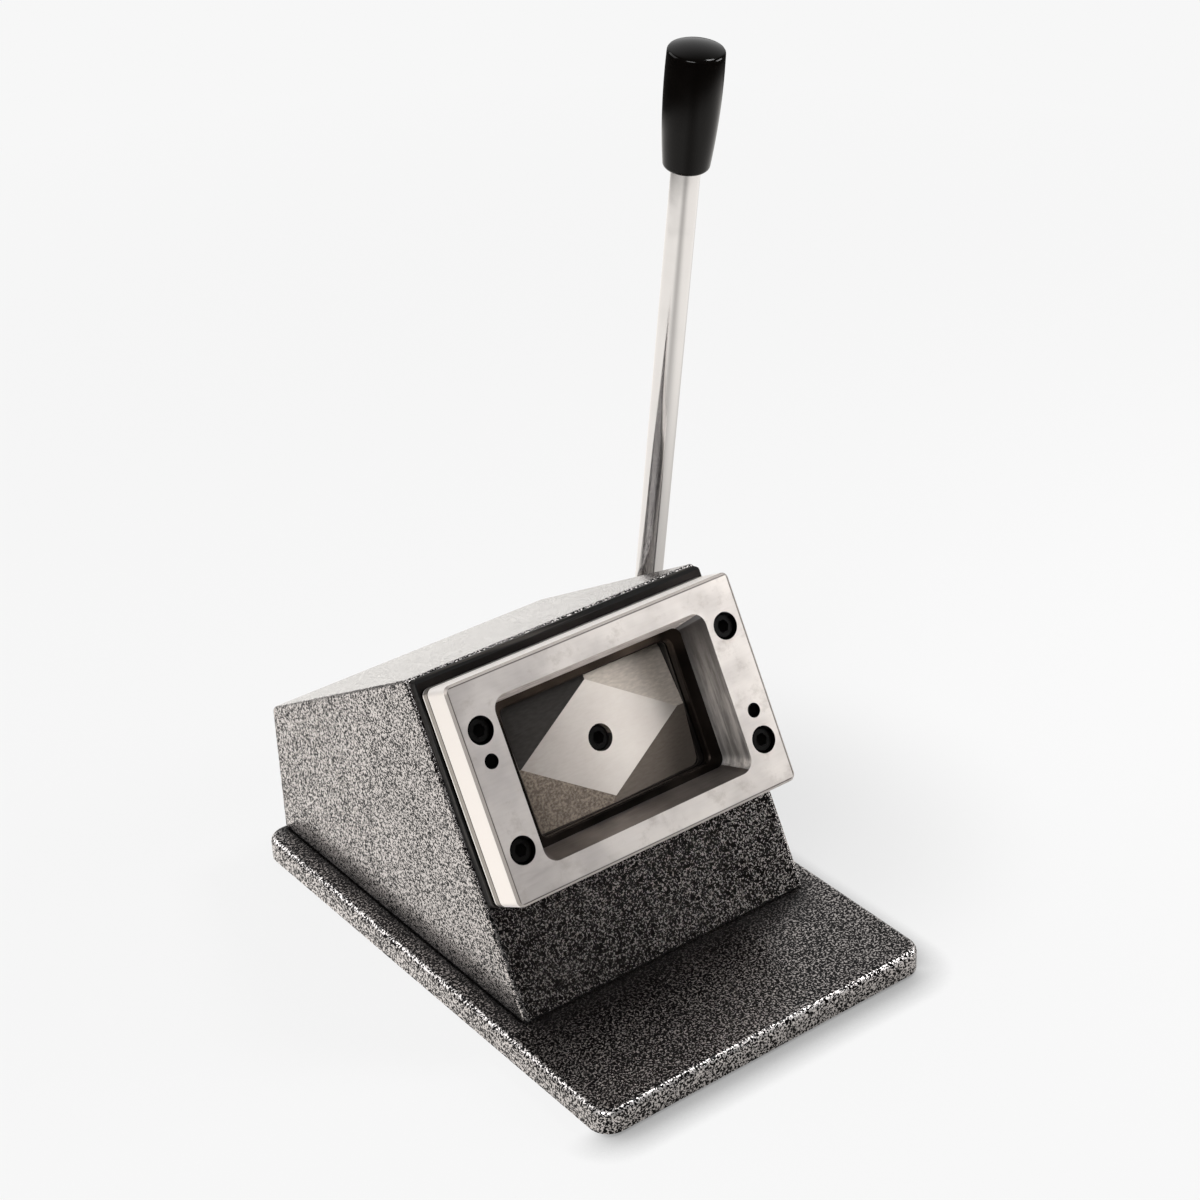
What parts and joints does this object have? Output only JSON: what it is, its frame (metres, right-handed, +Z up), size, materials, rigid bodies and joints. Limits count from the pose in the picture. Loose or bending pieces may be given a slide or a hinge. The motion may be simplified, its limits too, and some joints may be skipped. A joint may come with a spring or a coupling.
{
  "type": "card cutter",
  "caption": "Desk punch with a sloping cutting head and a long side lever that cuts identity cards out of a plastic sheet.",
  "frame": {"origin": "middle of the base's footprint, on the desk under the rubber pad", "axes": "+Z up, the cutting head faces -Y and up, the lever is on +X"},
  "size_m": [0.1874, 0.2472, 0.3572],
  "materials": {
    "hammer_paint": "grey hammertone stoving paint",
    "pad_rubber": "matt, fine grain",
    "gasket_foam": "matt foam strip",
    "black_screws": "black oxide, satin",
    "inner_steel": "milled and oiled",
    "bronze": "machined bronze",
    "ground_rods": "ground",
    "spring_steel": "oil-tempered wire",
    "black_plate": "black oxide, satin",
    "shim_steel": "rolled shim",
    "die_steel": "hardened and ground, oiled",
    "frame_steel": "milled, ground front",
    "punch_steel": "hardened, ground facets",
    "black_nylon": "moulded nylon",
    "lever_chrome": "bright chrome plate",
    "knob_black": "moulded phenolic, polished",
    "brass_insert": "turned brass"
  },
  "bodies": {
    "housing": {"base_pad": "pad_rubber", "base_plate": "hammer_paint", "side_plate_screws": "black_screws", "bracket_screws": "black_screws", "housing_gasket": "gasket_foam", "housing_shell": "hammer_paint", "housing_cheek_left": "hammer_paint", "housing_cheek_right": "hammer_paint", "rear_cover": "hammer_paint", "rear_cover_screws": "black_screws", "rear_bracket": "inner_steel", "side_plate_left": "inner_steel", "side_plate_right": "inner_steel", "ram_bridge": "inner_steel", "bridge_screws": "black_screws", "ram_liner": "bronze", "guide_rods": "ground_rods", "rod_nuts": "black_screws", "rest_stop_sleeves": "inner_steel", "return_springs": "spring_steel", "guide_plate": "black_plate", "slot_spacer": "shim_steel", "die_plate": "die_steel", "front_frame": "frame_steel", "frame_screws": "black_screws", "dowel_pins": "ground_rods", "shaft_bush_left": "bronze", "shaft_bush_right": "bronze", "shaft_grommet": "black_nylon"},
    "ram": {"punch": "punch_steel", "punch_screw": "black_screws", "punch_dowels": "ground_rods", "punch_holder": "inner_steel", "holder_screws": "black_screws", "ram_plate": "inner_steel", "ram_bushes": "bronze", "ram_bar": "inner_steel", "ram_bar_screws": "black_screws", "wear_pad": "die_steel", "wear_pad_screws": "black_screws", "depth_stop_screws": "black_screws", "depth_stop_nuts": "black_screws"},
    "lever": {"cross_shaft": "ground_rods", "cam": "die_steel", "cam_key": "inner_steel", "shaft_collars": "inner_steel", "collar_set_screws": "black_screws", "lever_hub": "lever_chrome", "hub_key": "inner_steel", "hub_washer": "lever_chrome", "hub_end_screw": "black_screws", "lever_rod": "lever_chrome", "knob": "knob_black", "knob_insert": "brass_insert"}
  },
  "joints": [
    {"name": "lever_swing", "type": "hinge", "parent": "housing", "child": "lever", "pos_m": [0, 0.06932, 0.03904], "axis": [1, 0, 0], "range_deg": [0, 60]},
    {"name": "ram_travel", "type": "slide", "parent": "housing", "child": "ram", "axis": [0, -0.8763, 0.4818], "range_m": [0, 0.00842], "stiffness_N_per_m": 16000, "springref_m": -0.008, "deforming": ["return_springs"]}
  ],
  "couplings": [
    {"joint": "ram_travel", "follows": "lever_swing", "m_per_rad": 0.008}
  ]
}
